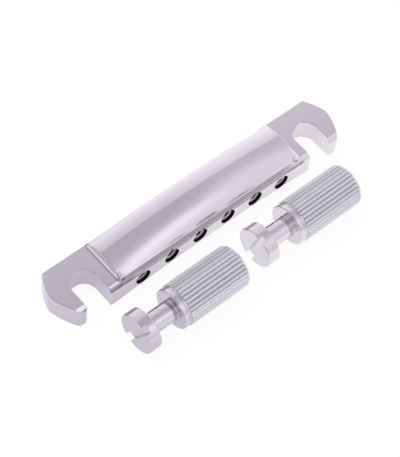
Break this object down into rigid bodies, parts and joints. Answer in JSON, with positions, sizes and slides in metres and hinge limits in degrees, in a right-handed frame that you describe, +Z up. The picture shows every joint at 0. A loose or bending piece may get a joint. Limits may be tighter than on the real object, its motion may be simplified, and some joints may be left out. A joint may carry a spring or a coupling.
{
  "type": "stop-bar tailpiece set",
  "caption": "Arched nickel tailpiece bar with hooked ears and string holes, beside slotted height studs screwed into knurled anchor bushings.",
  "frame": {"origin": "middle of the whole set's box at the surface it lies on", "axes": "+X along the bar and both studs, from the studs' heads to the bushings; strings leave towards -Y; +Z up"},
  "size_m": [0.1036, 0.0368, 0.0132],
  "materials": {
    "polished_nickel": "polished bright nickel plate",
    "turned_nickel": "turned and bright nickel plated",
    "knurled_nickel": "satin nickel plate over a straight knurl"
  },
  "bodies": {
    "bar": {"tailpiece_bar": "polished_nickel"},
    "left_bushing": {"bushing_left": "knurled_nickel"},
    "left_stud": {"stud_left": "turned_nickel"},
    "right_stud": {"stud_right": "turned_nickel"},
    "right_bushing": {"bushing_right": "knurled_nickel"}
  },
  "joints": [
    {"name": "left_bushing_turn", "type": "hinge", "parent": "bar", "child": "left_bushing", "pos_m": [-0.01546, -0.01183, 0.0066], "axis": [1, 0, 0], "range_deg": [0, 4320]},
    {"name": "left_stud_travel", "type": "slide", "parent": "bar", "child": "left_stud", "axis": [-1, 0, 0], "range_m": [0, 0.015]},
    {"name": "right_stud_turn", "type": "hinge", "parent": "bar", "child": "right_stud", "pos_m": [0.01144, -0.01112, 0.0066], "axis": [-1, 0, 0], "range_deg": [0, 4320]},
    {"name": "right_bushing_travel", "type": "slide", "parent": "bar", "child": "right_bushing", "axis": [1, 0, 0], "range_m": [0, 0.015]}
  ],
  "couplings": [
    {"joint": "left_stud_travel", "follows": "left_bushing_turn", "m_per_rad": 0.00019894},
    {"joint": "right_bushing_travel", "follows": "right_stud_turn", "m_per_rad": 0.00019894}
  ]
}
